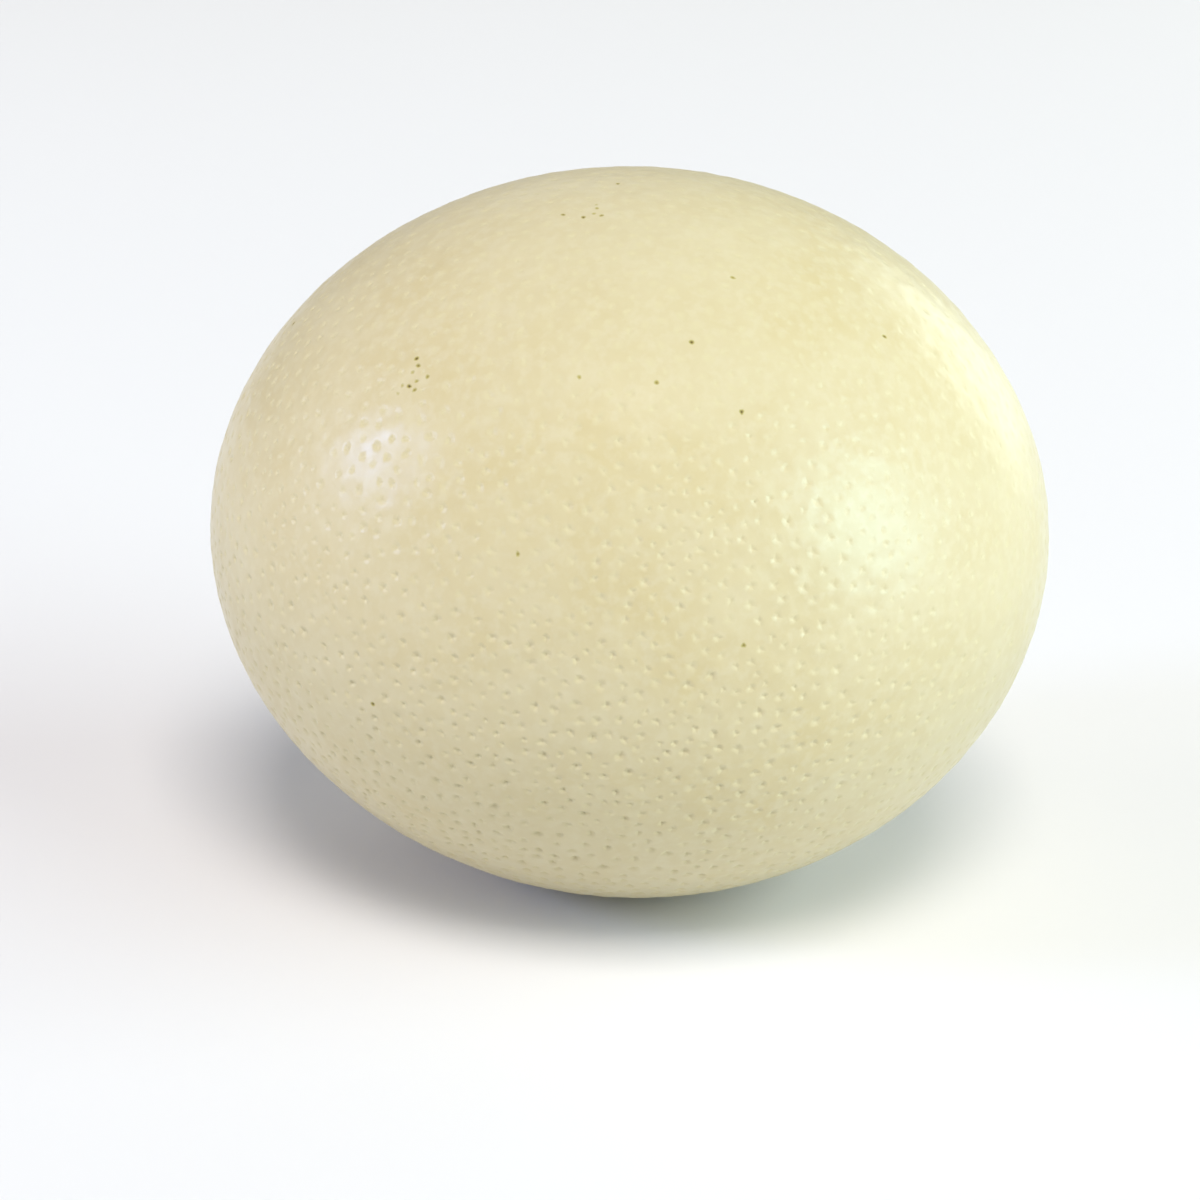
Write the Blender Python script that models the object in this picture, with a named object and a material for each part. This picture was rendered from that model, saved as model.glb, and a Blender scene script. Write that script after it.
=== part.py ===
"""Ostrich egg, one solid, lying on its side on a small flat spot.

Metres, +Z up. The long axis runs along X, with the slightly fuller end toward +X.
The origin is on the plane of the flat spot, straight below the middle of the egg.
"""
import math

import bmesh
import bpy

# Driving dimensions.
EGG_LENGTH = 0.148
EGG_WIDTH = 0.129
FLAT_DEPTH = 0.0005

# Outline: with 0 for both it would be an ellipse.
FULL_END = 0.010
END_TAPER = 0.018

# Fineness of the skin.
RINGS = 44
SEGMENTS = 80

# Points closer than these are one point.
POLE_MERGE = 1e-6
FLAT_MERGE = 1e-4

# Finish.
SHELL_COLOUR = (0.68, 0.62, 0.42, 1.0)
SHELL_ROUGHNESS = 0.35


def clear_scene():
    """Remove every object of the startup scene."""
    for item in list(bpy.data.objects):
        bpy.data.objects.remove(item, do_unlink=True)


def fullness(along):
    """Half width at a place along the axis, from -1 to 1, before it is scaled."""
    ellipse = math.sqrt(max(0.0, 1.0 - along * along))
    return ellipse * (1.0 + FULL_END * along - END_TAPER * along * along)


def outline():
    """Points of the half outline, from the -X pole over the top to the +X pole."""
    places = [-math.cos(math.pi * ring / RINGS) for ring in range(RINGS + 1)]
    half_widths = [fullness(place) for place in places]
    half_widths[0] = half_widths[-1] = 0.0
    scale = EGG_WIDTH / 2.0 / max(half_widths)
    return [
        (place * EGG_LENGTH / 2.0, 0.0, half_width * scale)
        for place, half_width in zip(places, half_widths)
    ]


def spin_outline(mesh):
    """Turn the outline once round the long axis into a closed skin."""
    verts = [mesh.verts.new(point) for point in outline()]
    edges = [mesh.edges.new(pair) for pair in zip(verts, verts[1:])]
    bmesh.ops.spin(
        mesh,
        geom=verts + edges,
        cent=(0.0, 0.0, 0.0),
        axis=(1.0, 0.0, 0.0),
        angle=2.0 * math.pi,
        steps=SEGMENTS,
        use_merge=True,
    )
    bmesh.ops.remove_doubles(mesh, verts=mesh.verts[:], dist=POLE_MERGE)


def cut_flat_spot(mesh):
    """Slice off the lowest part of the skin and close it with one flat face."""
    level = FLAT_DEPTH - EGG_WIDTH / 2.0
    bmesh.ops.bisect_plane(
        mesh,
        geom=mesh.verts[:] + mesh.edges[:] + mesh.faces[:],
        dist=FLAT_MERGE,
        plane_co=(0.0, 0.0, level),
        plane_no=(0.0, 0.0, 1.0),
        clear_inner=True,
    )
    rim = [edge for edge in mesh.edges if edge.is_boundary]
    for edge in rim:
        for vert in edge.verts:
            vert.co.z = level
    bmesh.ops.holes_fill(mesh, edges=rim, sides=0)


def stand_on_ground(mesh):
    """Lift the skin so that the flat spot lies at height zero."""
    lift = EGG_WIDTH / 2.0 - FLAT_DEPTH
    bmesh.ops.translate(mesh, verts=mesh.verts[:], vec=(0.0, 0.0, lift))


def shade_smooth(mesh):
    """Shade the whole skin smooth, except for the flat spot."""
    for face in mesh.faces:
        face.smooth = face.calc_center_median().z > POLE_MERGE


def shell_material():
    """Cream shell with a satin gloss."""
    material = bpy.data.materials.new("eggshell")
    material.use_nodes = True
    shader = material.node_tree.nodes["Principled BSDF"]
    shader.inputs["Base Color"].default_value = SHELL_COLOUR
    shader.inputs["Roughness"].default_value = SHELL_ROUGHNESS
    shader.inputs["Metallic"].default_value = 0.0
    return material


def build_egg():
    """Make the egg as one closed skin with its material."""
    mesh = bmesh.new()
    spin_outline(mesh)
    cut_flat_spot(mesh)
    stand_on_ground(mesh)
    bmesh.ops.recalc_face_normals(mesh, faces=mesh.faces[:])
    shade_smooth(mesh)
    data = bpy.data.meshes.new("ostrich_egg")
    mesh.to_mesh(data)
    mesh.free()
    data.materials.append(shell_material())
    egg = bpy.data.objects.new("ostrich_egg", data)
    bpy.context.scene.collection.objects.link(egg)


def main():
    """Build the egg in an empty scene."""
    clear_scene()
    build_egg()


main()
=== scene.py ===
"""Ostrich egg with a pitted, satin-gloss cream shell, on a plain pale studio floor.

Metres, +Z up. The egg lies on its flat spot at height zero, its long axis along X.
"""

import math
import random
from collections import defaultdict
from typing import NamedTuple

import bpy
import numpy as np
from bpy.props import FloatProperty, FloatVectorProperty, IntProperty, PointerProperty
from mathutils import Matrix, Vector, kdtree, noise
from mathutils.geometry import delaunay_2d_cdt


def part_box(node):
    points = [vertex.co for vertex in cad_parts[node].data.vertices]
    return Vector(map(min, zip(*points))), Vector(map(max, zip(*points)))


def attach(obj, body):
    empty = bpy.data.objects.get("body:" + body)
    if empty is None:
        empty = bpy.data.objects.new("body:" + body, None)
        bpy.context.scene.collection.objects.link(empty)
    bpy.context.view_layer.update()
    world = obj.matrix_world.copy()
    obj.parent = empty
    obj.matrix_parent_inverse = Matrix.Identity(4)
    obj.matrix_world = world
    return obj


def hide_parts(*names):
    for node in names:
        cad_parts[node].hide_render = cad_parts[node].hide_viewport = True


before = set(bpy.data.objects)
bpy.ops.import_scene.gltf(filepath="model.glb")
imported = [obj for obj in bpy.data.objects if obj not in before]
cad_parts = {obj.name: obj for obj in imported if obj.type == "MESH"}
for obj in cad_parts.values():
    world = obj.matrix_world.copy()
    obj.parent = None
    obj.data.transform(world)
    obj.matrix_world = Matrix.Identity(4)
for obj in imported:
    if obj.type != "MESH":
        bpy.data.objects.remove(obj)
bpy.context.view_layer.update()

bl_info = {
    "name": "Ostrich Egg",
    "version": (1, 0, 0),
    "blender": (4, 5, 0),
    "location": "View3D > Sidebar > Ostrich Egg",
    "description": "Makes an ostrich egg with a finely pitted shell, and a pale studio round it",
    "category": "Add Mesh",
}

NODE = "ostrich_egg"
BODY = "root"

EGG_LOW, EGG_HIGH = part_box(NODE)
MM = 0.001

# A point no higher than this is on the flat spot.
ON_FLAT = 1e-6 * MM


# ---------------------------------------------------------------- settings


class EggFormSettings(bpy.types.PropertyGroup):
    """Size and outline of the egg."""

    length: FloatProperty(
        name="Length",
        description="Length of the egg along its long axis",
        default=EGG_HIGH.x - EGG_LOW.x,
        unit="LENGTH",
    )
    width: FloatProperty(
        name="Width",
        description="Largest width of the egg across its long axis",
        default=EGG_HIGH.y - EGG_LOW.y,
        unit="LENGTH",
    )
    flat_depth: FloatProperty(
        name="Flat depth",
        description="How much of the round underside the flat spot takes off",
        default=(EGG_HIGH.y - EGG_LOW.y) - (EGG_HIGH.z - EGG_LOW.z),
        unit="LENGTH",
    )
    full_end: FloatProperty(
        name="Full end",
        description="How much fuller than an ellipse the +X end is",
        default=0.010,
        subtype="FACTOR",
    )
    end_taper: FloatProperty(
        name="End taper",
        description="How much slimmer than an ellipse both ends are",
        default=0.018,
        subtype="FACTOR",
    )


class EggPitSettings(bpy.types.PropertyGroup):
    """The fine pits of the shell, and the mesh that carries them."""

    seed: IntProperty(
        name="Seed",
        description="Another number gives another scatter of pits",
        default=11,
    )
    closest: FloatProperty(
        name="Closest",
        description="Distance between pits where they crowd together",
        default=1.8 * MM,
        unit="LENGTH",
    )
    farthest: FloatProperty(
        name="Farthest",
        description="Distance between pits where they are sparse",
        default=3.25 * MM,
        unit="LENGTH",
    )
    smallest: FloatProperty(
        name="Smallest",
        description="Radius of the smallest pits",
        default=0.6 * MM,
        unit="LENGTH",
    )
    largest: FloatProperty(
        name="Largest",
        description="Radius of the largest pits",
        default=1.3 * MM,
        unit="LENGTH",
    )
    steepness: FloatProperty(
        name="Steepness",
        description="Depth of a middling pit as a share of its radius",
        default=0.28,
        subtype="FACTOR",
    )
    swell: FloatProperty(
        name="Swell",
        description="Depth of the slow unevenness between the pits",
        default=0.24 * MM,
        unit="LENGTH",
    )
    filling: IntProperty(
        name="Filling points",
        description="Mesh points spread over the skin between the pits",
        default=30000,
    )


class EggFinishSettings(bpy.types.PropertyGroup):
    """Colours and gloss of the shell."""

    cream: FloatVectorProperty(
        name="Cream",
        description="Main colour of the shell",
        default=(0.571, 0.492, 0.284),
        subtype="COLOR",
    )
    straw: FloatVectorProperty(
        name="Straw",
        description="Colour of the yellower patches",
        default=(0.565, 0.476, 0.255),
        subtype="COLOR",
    )
    chalk: FloatVectorProperty(
        name="Chalk",
        description="Colour of the paler, greyer patches and flecks",
        default=(0.618, 0.553, 0.358),
        subtype="COLOR",
    )
    # Paler than the cream: partly the pits' own paler colour, partly painted light that stands in
    # for the light their walls catch.
    pit: FloatVectorProperty(
        name="Pit",
        description="Colour inside the pits",
        default=(0.598, 0.527, 0.313),
        subtype="COLOR",
    )
    stain: FloatVectorProperty(
        name="Stain",
        description="Colour of the few pits that hold dirt",
        default=(0.10, 0.06, 0.012),
        subtype="COLOR",
    )
    halo: FloatVectorProperty(
        name="Halo",
        description="Colour round a stain",
        default=(0.40, 0.34, 0.10),
        subtype="COLOR",
    )


class EggStudioSettings(bpy.types.PropertyGroup):
    """Floor, light and camera round the egg."""

    floor_colour: FloatVectorProperty(
        name="Floor",
        description="Colour of the studio floor",
        default=(0.745, 0.732, 0.725),
        subtype="COLOR",
    )
    lift: FloatProperty(
        name="Camera lift",
        description="How far above level the camera looks from",
        default=math.radians(20.0),
        subtype="ANGLE",
    )
    roll: FloatProperty(
        name="Camera roll",
        description="How far the camera leans to its left",
        default=math.radians(2.3),
        subtype="ANGLE",
    )
    lens: FloatProperty(
        name="Lens",
        description="Focal length in millimetres",
        default=85.0,
        unit="CAMERA",
    )
    egg_share: FloatProperty(
        name="Egg share",
        description="Share of the picture's width that the egg's length takes",
        default=0.6943,
        subtype="FACTOR",
    )


# ---------------------------------------------------------------- form

# The rim of the flat spot is searched for between the ball's bottom and this far from it.
RIM_FARTHEST = 0.6
RIM_HALVINGS = 50


class EggForm:
    """The smooth egg: places on it are given by directions on a unit ball."""

    def __init__(self, settings):
        self.half_length = settings.length / 2.0
        self.full_end = settings.full_end
        self.end_taper = settings.end_taper
        self.half_width = settings.width / 2.0
        self.axis_height = self.half_width - settings.flat_depth

    def fullness(self, along):
        """Half width against an ellipse's, at places from -1 to 1 along the axis."""
        return 1.0 + self.full_end * along - self.end_taper * along**2

    def round_points(self, ways):
        """Points of the whole round egg, with nothing cut off below."""
        spread = self.half_width * self.fullness(ways[:, :1])
        points = ways * np.hstack((np.full_like(spread, self.half_length), spread, spread))
        points[:, 2] += self.axis_height
        return points

    def points(self, ways):
        """Points of the egg with its flat spot."""
        points = self.round_points(ways)
        points[:, 2] = np.maximum(points[:, 2], 0.0)
        return points

    def normals(self, ways):
        """Outward normals: straight down on the flat spot."""
        spread = self.half_width * self.fullness(ways[:, :1])
        bend = self.half_width * (self.full_end - 2.0 * self.end_taper * ways[:, :1])
        across = 1.0 - ways[:, :1] ** 2
        along = (ways[:, :1] * spread - across * bend) / self.half_length
        normals = np.hstack((along, ways[:, 1:]))
        normals[self.round_points(ways)[:, 2] < 0.0] = (0.0, 0.0, -1.0)
        return normals / np.linalg.norm(normals, axis=1, keepdims=True)

    def ways(self, points):
        """Directions of points on the skin, those on the flat spot taken straight down."""
        along = np.clip(points[:, :1] / self.half_length, -1.0, 1.0)
        spread = self.half_width * self.fullness(along)
        beside = points[:, 1:2] / spread
        level = (points[:, 2:] - self.axis_height) / spread
        straight_down = -np.sqrt(np.maximum(0.0, 1.0 - along**2 - beside**2))
        level = np.where(points[:, 2:] < ON_FLAT, straight_down, level)
        ways = np.hstack((along, beside, level))
        return ways / np.linalg.norm(ways, axis=1, keepdims=True)

    def rim_ways(self, count):
        """Directions of the flat spot's rim, anticlockwise from above."""
        near, far = np.zeros(count), np.full(count, RIM_FARTHEST)
        for _ in range(RIM_HALVINGS):
            middle = (near + far) / 2.0
            below = self.round_points(ring_ways(middle))[:, 2] < 0.0
            near = np.where(below, middle, near)
            far = np.where(below, far, middle)
        return ring_ways((near + far) / 2.0)


def ring_ways(reach):
    """Directions round the bottom of the ball, each at its own reach from it."""
    turns = 2.0 * math.pi * np.arange(len(reach)) / len(reach)
    down = -np.sqrt(1.0 - reach**2)
    return np.column_stack((reach * np.cos(turns), reach * np.sin(turns), down))


def even_ways(count):
    """Directions spread evenly over the ball along a golden spiral."""
    steps = np.arange(count)
    height = 1.0 - (2.0 * steps + 1.0) / count
    turn = steps * math.pi * (3.0 - math.sqrt(5.0))
    reach = np.sqrt(1.0 - height**2)
    return np.column_stack((reach * np.cos(turn), reach * np.sin(turn), height))


# ---------------------------------------------------------------- pits

# Where pits go. Those the flat spot's rim would cut are left out, and so are those
# whose place on the whole round egg is below LOWEST_PIT, near the middle of the flat spot.
PIT_TRIES = 90000
CROWDING_SCALE = 17.0 * MM
RIM_CLEARANCE = 0.16 * MM
LOWEST_PIT = -0.475 * MM

# Radius of a pit as a share of the distance to its nearest neighbour.
NARROW_REACH = 0.36
WIDE_REACH = 0.48

# Depth of a pit against its usual depth: by height, toward the +X end, and by chance.
DEPTH_BELOW = 1.9
DEPTH_ABOVE = 0.2
DEPTH_AT_END = 0.2
SHALLOWEST = 0.45
DEEPEST = 1.45

# How far a pit may be from round: length by width, and the three-sided bulge of its rim.
LONGEST_PIT = 1.5
MOST_BULGE = 0.16

# Least reach from a pit's centre, as a share of its radius, when its slope is worked out.
LEAST_REACH = 1e-6

# Mesh points round the flat spot, at its middle, and between the pits.
RIM_POINTS = 72
LAST_RING_REACH = 0.008
LAST_RING_POINTS = 6
FILLING_GAP = 0.55 * MM

# Size of the slow unevenness, and the step over which its slope is taken.
SWELL_SCALE = 3.0 * MM
SWELL_STEP = 0.5 * MM

# How the skin's triangles are made: those inside the outer ring, and the distance on the
# flat map below which two points are one.
KEEP_INSIDE = 1
ONE_POINT = 1e-9


class PitRing(NamedTuple):
    """A ring of mesh points in a pit, with its shares of the pit's radius and stain."""

    reach: float
    stain: float
    count: int


PIT_RINGS = (
    PitRing(reach=0.3, stain=0.8, count=5),
    PitRing(reach=1.0, stain=0.0, count=9),
)


class Pit(NamedTuple):
    """One pit of the shell."""

    place: Vector
    radius: float
    length: float
    lean: float
    bulge: float
    bulge_turn: float
    depth: float
    stain: float


class StainedPatch(NamedTuple):
    """A patch of the shell where some pits hold dirt, by default a single one."""

    turn: float
    lift: float
    reach: float = 1.5 * MM
    share: float = 1.0
    faintest: float = 0.7
    crowded: bool = False


# Turn is from the near side toward +X, lift is above level, both in degrees.
STAINED_PATCHES = (
    StainedPatch(-35.0, 84.0),
    StainedPatch(10.0, 48.0),
    StainedPatch(3.0, 42.0),
    StainedPatch(16.0, 36.0),
    StainedPatch(-28.0, 16.0),
    StainedPatch(-34.0, 10.0),
    StainedPatch(14.0, 5.0),
    StainedPatch(-33.0, -11.0),
    StainedPatch(-38.0, 38.0, reach=3.6 * MM, share=0.65, faintest=0.3, crowded=True),
    StainedPatch(-27.0, 73.0, reach=3.6 * MM, share=0.4, faintest=0.3, crowded=True),
)
CROWDED_GAP = 1.3 * MM
STRAY_STAINS = 0.004
STRAY_FAINTEST = 0.3


def way_from_angles(turn, lift):
    """Unit vector at a turn from the near side toward +X and a lift above level."""
    turn, lift = math.radians(turn), math.radians(lift)
    level = math.cos(lift)
    return Vector((level * math.sin(turn), -level * math.cos(turn), math.sin(lift)))


def random_way(chance):
    """A direction drawn evenly over the ball."""
    height = chance.uniform(-1.0, 1.0)
    turn = chance.uniform(0.0, 2.0 * math.pi)
    reach = math.sqrt(1.0 - height * height)
    return reach * math.cos(turn), reach * math.sin(turn), height


def tree_of(places):
    """A search tree over places, numbered in their order."""
    tree = kdtree.KDTree(len(places))
    for index, place in enumerate(places):
        tree.insert(place, index)
    tree.balance()
    return tree


def has_room(place, gap, taken, cell):
    """Whether a place is at least a gap away from each pit already taken."""
    key = [math.floor(value / cell) for value in place]
    for dx in (-1, 0, 1):
        for dy in (-1, 0, 1):
            for dz in (-1, 0, 1):
                for other in taken.get((key[0] + dx, key[1] + dy, key[2] + dz), ()):
                    if (other - place).length < gap:
                        return False
    return True


def draw_stain(place, stained, chance):
    """How stained a pit is, from 0 for clean to 1 for black."""
    share, faintest = STRAY_STAINS, STRAY_FAINTEST
    for centre, patch in stained:
        if (place - centre).length < patch.reach:
            share, faintest = patch.share, patch.faintest
    return chance.uniform(faintest, 1.0) if chance.random() < share else 0.0


def place_pits(form, settings, chance, stained):
    """Throw pits over the egg, each clear of its neighbours and of the flat's rim."""
    ways = np.array([random_way(chance) for _ in range(PIT_TRIES)])
    heights = form.round_points(ways)[:, 2]
    crowds = [(centre, patch.reach) for centre, patch in stained if patch.crowded]
    cell = settings.farthest
    taken = defaultdict(list)
    kept = []
    for place, height in zip(map(Vector, form.points(ways)), heights):
        if abs(height) < RIM_CLEARANCE or height < LOWEST_PIT:
            continue
        crowding = 0.5 + 0.5 * noise.noise(place / CROWDING_SCALE)
        gap = settings.closest + (settings.farthest - settings.closest) * crowding
        if any((place - centre).length < reach for centre, reach in crowds):
            gap = CROWDED_GAP
        if has_room(place, gap, taken, cell):
            taken[tuple(math.floor(value / cell) for value in place)].append(place)
            kept.append(place)
    return kept


def usual_depth(form, place):
    """How much deeper or shallower pits are at a place than their steepness alone says."""
    height = place.z / (2.0 * form.half_width)
    toward_end = max(0.0, place.x / form.half_length)
    depth = DEPTH_BELOW + (DEPTH_ABOVE - DEPTH_BELOW) * height
    return depth * (1.0 + (DEPTH_AT_END - 1.0) * toward_end)


def scatter_pits(form, settings, chance):
    """All pits of the egg, with sizes from the room each has."""
    ways = np.array([way_from_angles(patch.turn, patch.lift) for patch in STAINED_PATCHES])
    stained = list(zip(map(Vector, form.points(ways)), STAINED_PATCHES))
    places = place_pits(form, settings, chance, stained)
    tree = tree_of(places)
    pits = []
    for place in places:
        _, (_, _, nearest) = tree.find_n(place, 2)
        radius = nearest * chance.uniform(NARROW_REACH, WIDE_REACH)
        radius = min(max(radius, settings.smallest), settings.largest)
        stain = draw_stain(place, stained, chance)
        if stain > 0.0:
            radius = settings.smallest
        pits.append(
            Pit(
                place=place,
                radius=radius,
                length=chance.uniform(1.0, LONGEST_PIT),
                lean=chance.uniform(0.0, math.pi),
                bulge=chance.uniform(0.0, MOST_BULGE),
                bulge_turn=chance.uniform(0.0, 2.0 * math.pi),
                depth=radius
                * settings.steepness
                * usual_depth(form, place)
                * chance.uniform(SHALLOWEST, DEEPEST),
                stain=stain,
            )
        )
    return pits


class SkinPoints:
    """Mesh points of the skin, as they are gathered."""

    def __init__(self):
        self.ways = []
        self.stains = []

    def add(self, ways, stain=0.0):
        """Add points that share a stain value."""
        self.ways.extend(ways)
        self.stains.extend([stain] * len(ways))


def pit_axes(pit, normal):
    """The long and the short half axis of a pit, lying in the skin."""
    first = normal.orthogonal().normalized()
    second = normal.cross(first)
    long_axis = first * math.cos(pit.lean) + second * math.sin(pit.lean)
    short_axis = normal.cross(long_axis)
    stretch = math.sqrt(pit.length)
    return long_axis * (pit.radius * stretch), short_axis * (pit.radius / stretch)


def rim_share(pit, turn):
    """How far out a pit's three-sided rim lies at a turn, against a plain oval's."""
    return 1.0 + pit.bulge * math.cos(3.0 * turn + pit.bulge_turn)


def add_pits(skin, form, pits, axes):
    """Give each pit a lowest point and its rings."""
    centres = form.ways(np.array([pit.place for pit in pits]))
    for pit, centre, (long_axis, short_axis) in zip(pits, centres, axes):
        skin.add([centre], pit.stain)
        for ring in PIT_RINGS:
            points = []
            for step in range(ring.count):
                turn = 2.0 * math.pi * (step + ring.reach) / ring.count
                out = long_axis * math.cos(turn) + short_axis * math.sin(turn)
                points.append(pit.place + out * (ring.reach * rim_share(pit, turn)))
            skin.add(list(form.ways(np.array(points))), pit.stain * ring.stain)


def pit_values(points, pits, axes):
    """How deep each point lies in a pit, how the pit slopes there, and its share of depth."""
    tree = tree_of([pit.place for pit in pits])
    widest = max(axis[0].length for axis in axes) * (1.0 + MOST_BULGE)
    depths = np.zeros(len(points))
    tilts = np.zeros((len(points), 3))
    shares = np.zeros(len(points))
    for number, point in enumerate(map(Vector, points)):
        for place, index, _ in tree.find_range(point, widest):
            pit, (long_axis, short_axis) = pits[index], axes[index]
            along = (point - place).dot(long_axis) / long_axis.length_squared
            across = (point - place).dot(short_axis) / short_axis.length_squared
            rim = rim_share(pit, math.atan2(across, along))
            reach = math.hypot(along, across)
            inside = 1.0 - reach / rim
            if inside <= 0.0 or pit.depth * inside**2 <= depths[number]:
                continue
            downhill = long_axis * (along / long_axis.length_squared)
            downhill += short_axis * (across / short_axis.length_squared)
            depths[number] = pit.depth * inside**2
            tilts[number] = downhill * (-2.0 * pit.depth * inside / max(reach * rim, LEAST_REACH))
            shares[number] = inside**2
    return depths, tilts, shares


def add_filling(skin, form, settings, pits):
    """Spread points over the skin between the pits and off the flat's rim."""
    ways = even_ways(settings.filling)
    heights = form.round_points(ways)[:, 2]
    tree = tree_of([pit.place for pit in pits])
    kept = []
    for way, height, point in zip(ways, heights, form.points(ways)):
        _, index, distance = tree.find(point)
        reach = pits[index].radius * math.sqrt(pits[index].length)
        on_skin = abs(height) > RIM_CLEARANCE / 2.0 and height > LOWEST_PIT
        if on_skin and distance > reach + FILLING_GAP:
            kept.append(way)
    skin.add(kept)


def add_ring(skin, ways):
    """Add a closed ring of points and return their numbers."""
    start = len(skin.ways)
    skin.add(list(ways))
    return list(range(start, start + len(ways)))


def triangulate(ways, rim, last_ring):
    """Triangles of the skin, made on a flat map that has the ball's bottom at its edge."""
    spread = ways[:, :2] / (1.0 + ways[:, 2:])
    flat_map = [Vector(point) for point in spread]
    edges = list(zip(rim, rim[1:] + rim[:1]))
    _, _, faces, origins, _, _ = delaunay_2d_cdt(
        flat_map, edges, [last_ring], KEEP_INSIDE, ONE_POINT
    )
    numbers = [origin[0] for origin in origins]
    triangles = [tuple(numbers[corner] for corner in face) for face in faces]
    return triangles + [tuple(reversed(last_ring))]


# Half of each side's share of the map, with a margin left round it.
MAP_REACH = 0.47


def lay_out_map(mesh, ways):
    """Unwrap the skin as the six sides of a box, two rows of three."""
    layer = mesh.uv_layers.new(name="OFBake")
    corners = np.empty(len(mesh.loops), dtype=np.int32)
    mesh.loops.foreach_get("vertex_index", corners)
    starts = np.empty(len(mesh.polygons), dtype=np.int32)
    totals = np.empty(len(mesh.polygons), dtype=np.int32)
    mesh.polygons.foreach_get("loop_start", starts)
    mesh.polygons.foreach_get("loop_total", totals)
    owner = np.repeat(np.arange(len(starts)), totals)
    middles = np.add.reduceat(ways[corners], starts)
    axis = np.abs(middles).argmax(axis=1)
    forward = np.take_along_axis(middles, axis[:, None], axis=1)[:, 0] > 0.0
    side = (axis * 2 + forward)[owner]
    axis = axis[owner]
    local = ways[corners]
    ahead = np.abs(np.take_along_axis(local, axis[:, None], axis=1)[:, 0])
    first = np.take_along_axis(local, ((axis + 1) % 3)[:, None], axis=1)[:, 0]
    second = np.take_along_axis(local, ((axis + 2) % 3)[:, None], axis=1)[:, 0]
    mirror = np.where(forward[owner], 1.0, -1.0)
    across = np.arctan2(first * mirror, ahead) / math.pi * 4.0
    upward = np.arctan2(second, ahead) / math.pi * 4.0
    column, row = side % 3, side // 3
    places = np.column_stack(
        (
            (column + 0.5 + across * MAP_REACH) / 3.0,
            (row + 0.5 + upward * MAP_REACH) / 2.0,
        )
    )
    layer.data.foreach_set("uv", places.astype(np.float32).ravel())


def add_values(mesh, name, values):
    """Store one number per mesh point for the material."""
    layer = mesh.attributes.new(name, "FLOAT", "POINT")
    layer.data.foreach_set("value", np.asarray(values, dtype=np.float32))


def swell_values(points):
    """The slow unevenness at each point, from 0 to 1, and how it slopes there."""
    steps = [Vector(step) * SWELL_STEP for step in ((0, 0, 0), (1, 0, 0), (0, 1, 0), (0, 0, 1))]
    values = np.array(
        [[noise.noise((Vector(point) + step) / SWELL_SCALE) for step in steps] for point in points]
    )
    values = 0.5 + 0.5 * values
    return values[:, 0], (values[:, 1:] - values[:, :1]) / SWELL_STEP


def make_skin_mesh(form, settings):
    """Mesh of the whole egg, with a real dent for each pit."""
    chance = random.Random(settings.seed)
    pits = scatter_pits(form, settings, chance)
    pit_normals = form.normals(form.ways(np.array([pit.place for pit in pits])))
    axes = [pit_axes(pit, Vector(normal)) for pit, normal in zip(pits, pit_normals)]
    skin = SkinPoints()
    rim = add_ring(skin, form.rim_ways(RIM_POINTS))
    last_ring = add_ring(skin, ring_ways(np.full(LAST_RING_POINTS, LAST_RING_REACH)))
    add_pits(skin, form, pits, axes)
    add_filling(skin, form, settings, pits)
    ways = np.array(skin.ways)
    points = form.points(ways)
    normals = form.normals(ways)
    depths, tilts, shares = pit_values(points, pits, axes)
    swell, swell_slope = swell_values(points)
    round_part = (points[:, 2:] > ON_FLAT) * settings.swell
    depths = depths[:, None] + round_part * swell[:, None]
    tilts += round_part * swell_slope
    mesh = bpy.data.meshes.new("ostrich_egg_skin")
    triangles = triangulate(ways, rim, last_ring)
    mesh.from_pydata((points - normals * depths).tolist(), [], triangles)
    mesh.validate()
    lay_out_map(mesh, ways)
    add_values(mesh, "pit", shares)
    add_values(mesh, "stain", skin.stains)
    mesh.shade_smooth()
    mesh.normals_split_custom_set_from_vertices((normals + tilts).tolist())
    return mesh


# ---------------------------------------------------------------- material

# Colour noises of the shell, in waves per metre.
CLOUD_SCALE = 22.0
CHALK_SCALE = 60.0
FLECK_SCALE = 520.0
GLOSS_SCALE = 90.0
GRAIN_SCALE = 900.0

GLOSSIEST = 0.285
DULLEST = 0.35
PIT_ROUGHNESS = 0.45
SHELL_IOR = 1.5
GRAIN_DEPTH = 0.05 * MM
GRAIN_STRENGTH = 0.25


def mix_colours(tree, label, factor, first, second):
    """Mix two colours, each a socket or a colour, by a socket."""
    node = tree.nodes.new("ShaderNodeMix")
    node.data_type = "RGBA"
    node.label = label
    tree.links.new(factor, node.inputs["Factor"])
    for socket, value in ((node.inputs["A"], first), (node.inputs["B"], second)):
        if isinstance(value, bpy.types.NodeSocket):
            tree.links.new(value, socket)
        else:
            socket.default_value = (*value, 1.0)
    return node.outputs["Result"]


def spread_value(tree, label, value, low, high, to_low=0.0, to_high=1.0):
    """Map a value's range onto another, held at both ends."""
    node = tree.nodes.new("ShaderNodeMapRange")
    node.label = label
    tree.links.new(value, node.inputs["Value"])
    node.inputs["From Min"].default_value = low
    node.inputs["From Max"].default_value = high
    node.inputs["To Min"].default_value = to_low
    node.inputs["To Max"].default_value = to_high
    return node.outputs["Result"]


def noise_value(tree, label, place, scale, detail=3.0, roughness=0.5):
    """Noise over the object at a number of waves per metre."""
    node = tree.nodes.new("ShaderNodeTexNoise")
    node.label = label
    tree.links.new(place, node.inputs["Vector"])
    node.inputs["Scale"].default_value = scale
    node.inputs["Detail"].default_value = detail
    node.inputs["Roughness"].default_value = roughness
    return node.outputs["Fac"]


def vertex_value(tree, name):
    """A value stored on the mesh points."""
    node = tree.nodes.new("ShaderNodeAttribute")
    node.attribute_name = name
    node.label = name
    return node.outputs["Fac"]


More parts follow.
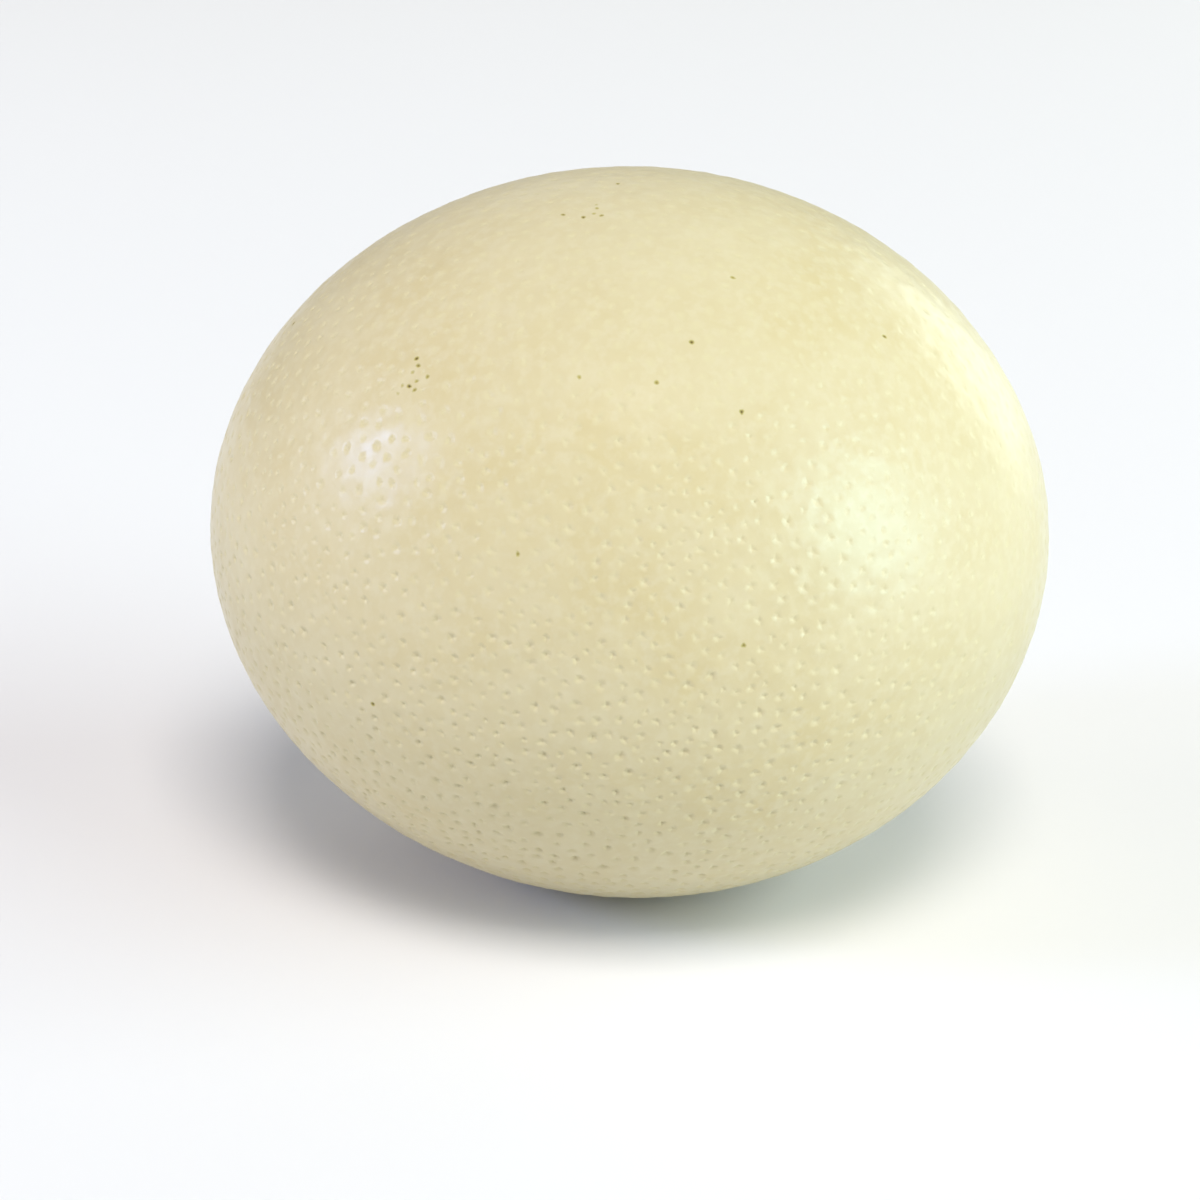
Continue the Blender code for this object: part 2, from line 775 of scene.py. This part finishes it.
def shell_colour(tree, settings, place, in_pit, stain):
    """Cream with straw clouds, chalk patches and flecks, pits paler partly by their own colour and
    partly by painted light, and a few stains.
    """
    clouds = noise_value(tree, "clouds", place, CLOUD_SCALE)
    cloudy = spread_value(tree, "cloudy", clouds, low=0.35, high=0.65)
    colour = mix_colours(tree, "straw patches", cloudy, settings.cream, settings.straw)
    chalk = noise_value(tree, "chalk", place, CHALK_SCALE, detail=4.0, roughness=0.75)
    chalky = spread_value(tree, "chalky", chalk, low=0.35, high=0.8, to_high=0.8)
    colour = mix_colours(tree, "chalk patches", chalky, colour, settings.chalk)
    fleck = noise_value(tree, "fleck", place, FLECK_SCALE, detail=2.0)
    flecked = spread_value(tree, "flecks", fleck, low=0.45, high=0.72, to_high=0.6)
    colour = mix_colours(tree, "pale flecks", flecked, colour, settings.chalk)
    # Pits made paler: partly their own colour, partly painted light for the light caught on their
    # walls.
    colour = mix_colours(tree, "pits", in_pit, colour, settings.pit)
    near_stain = spread_value(tree, "near stain", stain, low=0.1, high=0.45)
    colour = mix_colours(tree, "stain halos", near_stain, colour, settings.halo)
    stained = spread_value(tree, "stained", stain, low=0.45, high=0.85)
    return mix_colours(tree, "stains", stained, colour, settings.stain)


def shell_roughness(tree, place, in_pit):
    """Satin that varies a little over the shell, and duller pits."""
    gloss = noise_value(tree, "gloss", place, GLOSS_SCALE)
    satin = spread_value(
        tree, "satin", gloss, low=0.3, high=0.7, to_low=GLOSSIEST, to_high=DULLEST
    )
    duller = tree.nodes.new("ShaderNodeMix")
    duller.label = "dull pits"
    tree.links.new(in_pit, duller.inputs["Factor"])
    tree.links.new(satin, duller.inputs["A"])
    duller.inputs["B"].default_value = PIT_ROUGHNESS
    return duller.outputs["Result"]


def shell_grain(tree, place):
    """A fine grain all over the shell."""
    bump = tree.nodes.new("ShaderNodeBump")
    bump.inputs["Strength"].default_value = GRAIN_STRENGTH
    bump.inputs["Distance"].default_value = GRAIN_DEPTH
    grain = noise_value(tree, "grain", place, GRAIN_SCALE, roughness=0.6)
    tree.links.new(grain, bump.inputs["Height"])
    return bump.outputs["Normal"]


def make_shell_material(settings):
    """Cream shell with a satin gloss."""
    material = bpy.data.materials.new("pitted_eggshell")
    material.use_nodes = True
    tree = material.node_tree
    shader = tree.nodes["Principled BSDF"]
    place = tree.nodes.new("ShaderNodeTexCoord").outputs["Object"]
    # The pit share gives the pits their duller gloss and their paler colour, which is partly
    # painted light.
    in_pit = spread_value(tree, "in pit", vertex_value(tree, "pit"), low=0.05, high=0.5)
    colour = shell_colour(tree, settings, place, in_pit, vertex_value(tree, "stain"))
    tree.links.new(colour, shader.inputs["Base Color"])
    tree.links.new(shell_roughness(tree, place, in_pit), shader.inputs["Roughness"])
    tree.links.new(shell_grain(tree, place), shader.inputs["Normal"])
    shader.inputs["IOR"].default_value = SHELL_IOR
    return material


# ---------------------------------------------------------------- studio


class SoftLight(NamedTuple):
    """A square soft light aimed at the egg, as a fill, as a mirrored window or as both."""

    name: str
    turn: float
    lift: float
    distance: float
    size: float
    energy: float
    colour: tuple
    fills: bool = True
    mirrored: bool = True


# Turn is from the near side toward +X, lift is above level, both in degrees. Then come
# distance and size in metres, energy in watts and colour.
SOFT_LIGHTS = (
    SoftLight("key_light", 8.0, 59.0, 20.0, 8.0, 2860.0, (1.0, 0.947, 0.905), mirrored=False),
    SoftLight("window_light", 61.5, 16.0, 2.4, 1.2, 27.0, (0.42, 0.83, 1.0), fills=False),
    SoftLight("right_fill", 74.0, 22.0, 3.5, 3.4, 145.0, (0.77, 0.95, 1.0), mirrored=False),
    SoftLight("left_softbox", -74.0, 21.5, 2.2, 0.45, 15.0, (0.31, 0.47, 1.0)),
    SoftLight("left_fill", -84.0, 17.0, 3.0, 1.8, 35.0, (1.0, 0.92, 0.80), mirrored=False),
    SoftLight("overhead_light", -4.0, 59.0, 2.6, 0.6, 2.8, (1.0, 1.0, 1.0)),
    SoftLight("back_wall", 178.0, 30.0, 3.5, 3.0, 6.0, (1.0, 1.0, 1.0)),
    SoftLight("back_light", 137.0, 12.0, 3.0, 1.6, 20.0, (0.86, 1.0, 0.95)),
)
WORLD_COLOUR = (0.97, 0.98, 1.0, 1.0)
WORLD_STRENGTH = 0.22
FLOOR_RADIUS = 4.0
FLOOR_SEGMENTS = 64
PAPER_ROUGHNESS = 0.9
SENSOR_WIDTH = 36.0
NEAREST_SEEN = 0.01

# Where the camera aims, beside the egg's middle, as shares of the picture's width.
AIM_RIGHT = -0.0240
AIM_UP = -0.0560


def make_floor_material(colour):
    """Matt pale paper."""
    material = bpy.data.materials.new("studio_paper")
    material.use_nodes = True
    shader = material.node_tree.nodes["Principled BSDF"]
    shader.inputs["Base Color"].default_value = (*colour, 1.0)
    shader.inputs["Roughness"].default_value = PAPER_ROUGHNESS
    return material


def make_floor(colour):
    """A wide round pale floor at height zero."""
    turns = [2.0 * math.pi * step / FLOOR_SEGMENTS for step in range(FLOOR_SEGMENTS)]
    rim = [(FLOOR_RADIUS * math.cos(turn), FLOOR_RADIUS * math.sin(turn), 0.0) for turn in turns]
    mesh = bpy.data.meshes.new("studio_floor")
    mesh.from_pydata(rim, [], [tuple(range(FLOOR_SEGMENTS))])
    floor = bpy.data.objects.new("studio_floor", mesh)
    bpy.context.scene.collection.objects.link(floor)
    mesh.materials.append(make_floor_material(colour))


def aim(thing, target, roll=0.0):
    """Turn a light or camera so that it looks at a target, then lean it."""
    look = (Vector(target) - thing.location).to_track_quat("-Z", "Y")
    thing.rotation_euler = (look.to_matrix() @ Matrix.Rotation(roll, 3, "Z")).to_euler()


def make_lights(target):
    """Soft lights round the egg and an even pale world."""
    for light in SOFT_LIGHTS:
        data = bpy.data.lights.new(light.name, "AREA")
        data.size = light.size
        data.energy = light.energy
        data.color = light.colour
        lamp = bpy.data.objects.new(light.name, data)
        lamp.visible_camera = False
        lamp.visible_diffuse = light.fills
        lamp.visible_glossy = light.mirrored
        lamp.location = target + way_from_angles(light.turn, light.lift) * light.distance
        bpy.context.scene.collection.objects.link(lamp)
        aim(lamp, target)
    world = bpy.data.worlds.new("studio_world")
    world.use_nodes = True
    background = world.node_tree.nodes["Background"]
    background.inputs["Color"].default_value = WORLD_COLOUR
    background.inputs["Strength"].default_value = WORLD_STRENGTH
    bpy.context.scene.world = world


def make_camera(settings, egg_length, target):
    """A camera on the near side, a little above the egg."""
    data = bpy.data.cameras.new("studio_camera")
    data.lens = settings.lens
    data.sensor_width = SENSOR_WIDTH
    data.clip_start = NEAREST_SEEN
    camera = bpy.data.objects.new("studio_camera", data)
    bpy.context.scene.collection.objects.link(camera)
    picture_width = egg_length / settings.egg_share
    distance = picture_width * data.lens / data.sensor_width
    camera.location = target + way_from_angles(0.0, math.degrees(settings.lift)) * distance
    aim(camera, target, settings.roll)
    turned = camera.rotation_euler.to_matrix()
    beside = turned.col[0] * AIM_RIGHT + turned.col[1] * AIM_UP
    aim(camera, target + beside * picture_width, settings.roll)
    bpy.context.scene.camera = camera


# ---------------------------------------------------------------- operators


class MESH_OT_ostrich_egg(bpy.types.Operator):
    """Make the egg's pitted skin and its shell material"""

    bl_idname = "mesh.ostrich_egg"
    bl_label = "Ostrich egg"

    def execute(self, context):
        scene = context.scene
        form = EggForm(scene.egg_form)
        mesh = make_skin_mesh(form, scene.egg_pits)
        mesh.materials.append(make_shell_material(scene.egg_finish))
        egg = bpy.data.objects.new("ostrich_egg_skin", mesh)
        scene.collection.objects.link(egg)
        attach(egg, BODY)
        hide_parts(NODE)
        return {"FINISHED"}


class SCENE_OT_egg_studio(bpy.types.Operator):
    """Make the pale floor, the soft lights and the camera"""

    bl_idname = "scene.egg_studio"
    bl_label = "Egg studio"

    def execute(self, context):
        scene = context.scene
        form = scene.egg_form
        middle = Vector((0.0, 0.0, form.width / 2.0 - form.flat_depth))
        make_floor(scene.egg_studio.floor_colour)
        make_lights(middle)
        make_camera(scene.egg_studio, form.length, middle)
        scene.view_settings.view_transform = "Standard"
        return {"FINISHED"}


# ---------------------------------------------------------------- panel


class VIEW3D_PT_ostrich_egg(bpy.types.Panel):
    """Sizes, colours and buttons for the egg and its studio"""

    bl_label = "Ostrich Egg"
    bl_space_type = "VIEW_3D"
    bl_region_type = "UI"
    bl_category = "Ostrich Egg"

    def draw(self, context):
        for operator, groups in PANEL_PARTS:
            box = self.layout.box()
            for group in groups:
                settings = getattr(context.scene, group)
                for name in settings.__annotations__:
                    box.prop(settings, name)
            box.operator(operator)


PANEL_PARTS = (
    ("mesh.ostrich_egg", ("egg_form", "egg_pits", "egg_finish")),
    ("scene.egg_studio", ("egg_studio",)),
)
SETTINGS = {
    "egg_form": EggFormSettings,
    "egg_pits": EggPitSettings,
    "egg_finish": EggFinishSettings,
    "egg_studio": EggStudioSettings,
}
CLASSES = (
    *SETTINGS.values(),
    MESH_OT_ostrich_egg,
    SCENE_OT_egg_studio,
    VIEW3D_PT_ostrich_egg,
)


def register():
    for item in CLASSES:
        bpy.utils.register_class(item)
    for name, group in SETTINGS.items():
        setattr(bpy.types.Scene, name, PointerProperty(type=group))


def unregister():
    for name in SETTINGS:
        delattr(bpy.types.Scene, name)
    for item in reversed(CLASSES):
        bpy.utils.unregister_class(item)


def main():
    """Make the egg and its studio."""
    register()
    bpy.ops.mesh.ostrich_egg()
    bpy.ops.scene.egg_studio()


if __name__ == "__main__":
    main()
